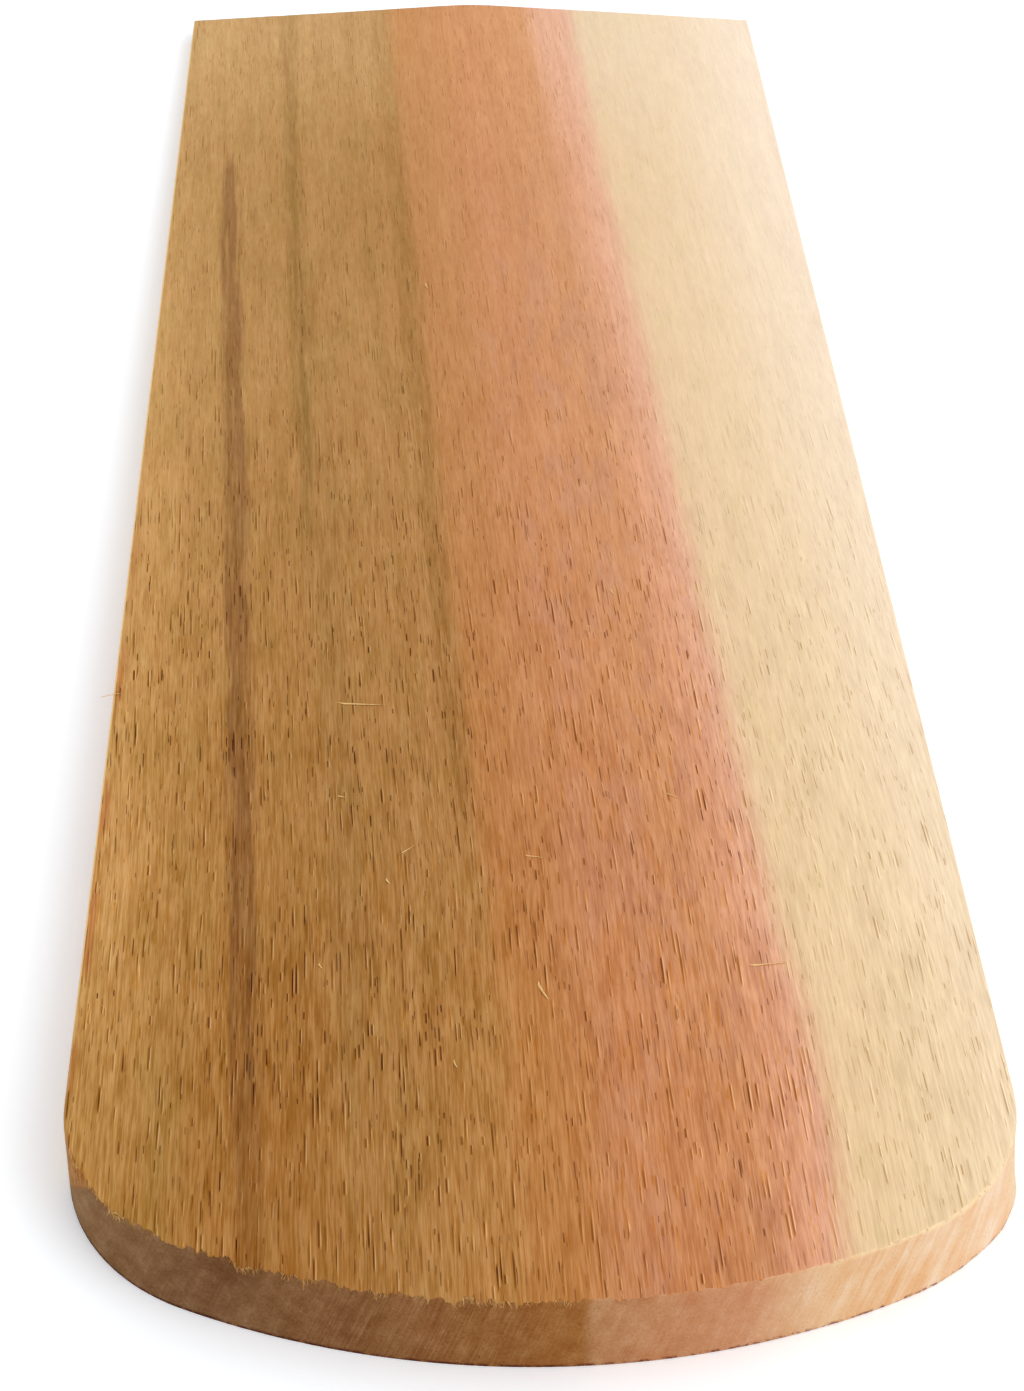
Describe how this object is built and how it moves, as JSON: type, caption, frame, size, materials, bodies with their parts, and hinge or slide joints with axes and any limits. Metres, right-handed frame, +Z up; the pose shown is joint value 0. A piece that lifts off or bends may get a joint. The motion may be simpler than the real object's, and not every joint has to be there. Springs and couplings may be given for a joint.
{
  "type": "wood shingle",
  "caption": "Tapered wood shingle with a thick rounded butt, straight parallel sides and a thin, very slightly pointed head, for covering roofs and walls in lapped courses.",
  "frame": {"origin": "on the flat underside, below the middle of the overall length and width", "axes": "+X across the width, +Y from the rounded butt to the thin head, +Z up out of the upper face side"},
  "size_m": [0.1, 0.316, 0.0095],
  "materials": {
    "wood": "bare, rough-sawn"
  },
  "bodies": {
    "root": {"shingle": "wood"}
  },
  "joints": []
}
